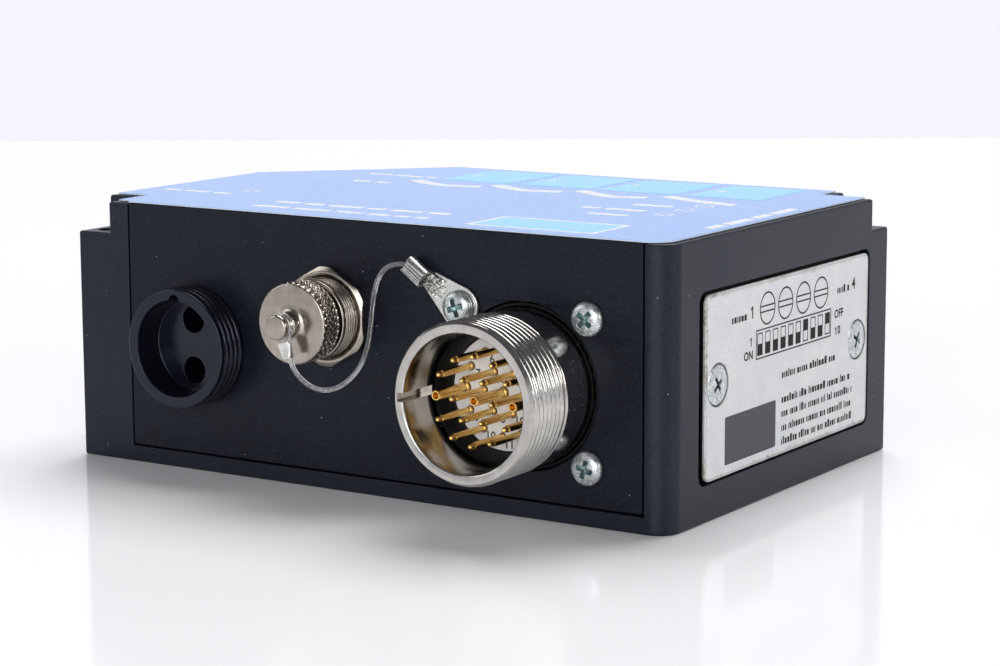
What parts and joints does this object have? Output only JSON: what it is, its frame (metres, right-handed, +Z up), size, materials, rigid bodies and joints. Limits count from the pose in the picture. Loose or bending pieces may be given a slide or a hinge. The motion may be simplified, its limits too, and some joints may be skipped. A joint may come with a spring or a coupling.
{
  "type": "fibre-optic color sensor",
  "caption": "Milled block color sensor with a fibre collar, a capped service socket on a lanyard, a multi-pin round connector and a screwed side cover.",
  "frame": {"origin": "centre of the housing's underside, on the surface that it stands on", "axes": "+X to the right along the connector panel, +Y from the panel to the rear, +Z up"},
  "size_m": [0.1051, 0.0852, 0.0406],
  "materials": {
    "black_anodised": "black anodised, satin",
    "blue_foil": "printed polyester foil, satin",
    "cover_plate": "pale anodised, satin",
    "seal_rubber": "matt",
    "zinc_screw": "zinc plated",
    "black_plastic": "turned, semi-gloss",
    "clear_plastic": "clear, glossy",
    "dark_filter": "dark filter, glossy",
    "nickel_brass": "nickel plated",
    "clear_nylon": "clear monofilament",
    "bright_aluminium": "crimped, bright",
    "tinned_copper": "tinned",
    "white_plastic": "moulded, satin",
    "gold_contact": "gold plated",
    "board_green": "solder mask",
    "red_plastic": "moulded",
    "trimmer_blue": "moulded"
  },
  "bodies": {
    "base": {"housing": "black_anodised", "front_panel": "black_anodised", "top_foil": "blue_foil", "side_cover": "cover_plate", "cover_gasket": "seal_rubber", "cover_screw_front": "zinc_screw", "cover_screw_rear": "zinc_screw", "fibre_collar": "black_plastic", "collar_nut": "black_plastic", "optics_block": "black_plastic", "light_source": "clear_plastic", "colour_receiver": "dark_filter", "service_sleeve": "nickel_brass", "service_nut": "nickel_brass", "service_insert": "black_plastic", "lanyard": "clear_nylon", "ring_terminal": "tinned_copper", "main_shell": "nickel_brass", "main_seal": "seal_rubber", "main_gasket": "seal_rubber", "main_insert": "white_plastic", "contact_centre": "gold_contact", "contact_outer_01": "gold_contact", "contact_outer_02": "gold_contact", "contact_outer_03": "gold_contact", "contact_outer_04": "gold_contact", "contact_outer_05": "gold_contact", "contact_outer_06": "gold_contact", "contact_outer_07": "gold_contact", "contact_outer_08": "gold_contact", "contact_outer_09": "gold_contact", "contact_outer_10": "gold_contact", "contact_outer_11": "gold_contact", "contact_outer_12": "gold_contact", "contact_inner_01": "gold_contact", "contact_inner_02": "gold_contact", "contact_inner_03": "gold_contact", "contact_inner_04": "gold_contact", "contact_inner_05": "gold_contact", "contact_inner_06": "gold_contact", "panel_screw_terminal": "zinc_screw", "panel_screw_right_top": "zinc_screw", "panel_screw_right_bottom": "zinc_screw", "panel_screw_left_bottom": "zinc_screw", "main_board": "board_green", "side_board": "board_green", "board_screw_left": "zinc_screw", "board_screw_right": "zinc_screw", "switch_block": "red_plastic", "trimmer_1": "trimmer_blue", "trimmer_2": "trimmer_blue", "trimmer_3": "trimmer_blue", "trimmer_4": "trimmer_blue"},
    "cap_carrier": {"lanyard_loop": "clear_nylon", "lanyard_ferrule": "bright_aluminium"},
    "cap": {"screw_cap": "nickel_brass"},
    "rotor_1": {"trimmer_rotor_1": "white_plastic"},
    "rotor_2": {"trimmer_rotor_2": "white_plastic"},
    "rotor_3": {"trimmer_rotor_3": "white_plastic"},
    "rotor_4": {"trimmer_rotor_4": "white_plastic"}
  },
  "joints": [
    {"name": "cap_travel", "type": "slide", "parent": "base", "child": "cap_carrier", "axis": [0, -1, 0], "range_m": [0, 0.003]},
    {"name": "cap_turn", "type": "hinge", "parent": "cap_carrier", "child": "cap", "pos_m": [-0.0043, -0.0447, 0.02605], "axis": [0, -1, 0], "range_deg": [0, 1440]},
    {"name": "trimmer_turn_1", "type": "hinge", "parent": "base", "child": "rotor_1", "pos_m": [0.0487, -0.00596, 0.0281], "axis": [1, 0, 0], "range_deg": [-135, 135]},
    {"name": "trimmer_turn_2", "type": "hinge", "parent": "base", "child": "rotor_2", "pos_m": [0.0487, -0.00018, 0.0281], "axis": [1, 0, 0], "range_deg": [-135, 135]},
    {"name": "trimmer_turn_3", "type": "hinge", "parent": "base", "child": "rotor_3", "pos_m": [0.0487, 0.00558, 0.0281], "axis": [1, 0, 0], "range_deg": [-135, 135]},
    {"name": "trimmer_turn_4", "type": "hinge", "parent": "base", "child": "rotor_4", "pos_m": [0.0487, 0.01136, 0.0281], "axis": [1, 0, 0], "range_deg": [-135, 135]}
  ],
  "couplings": [
    {"joint": "cap_turn", "follows": "cap_travel", "rad_per_m": 8377.5}
  ]
}
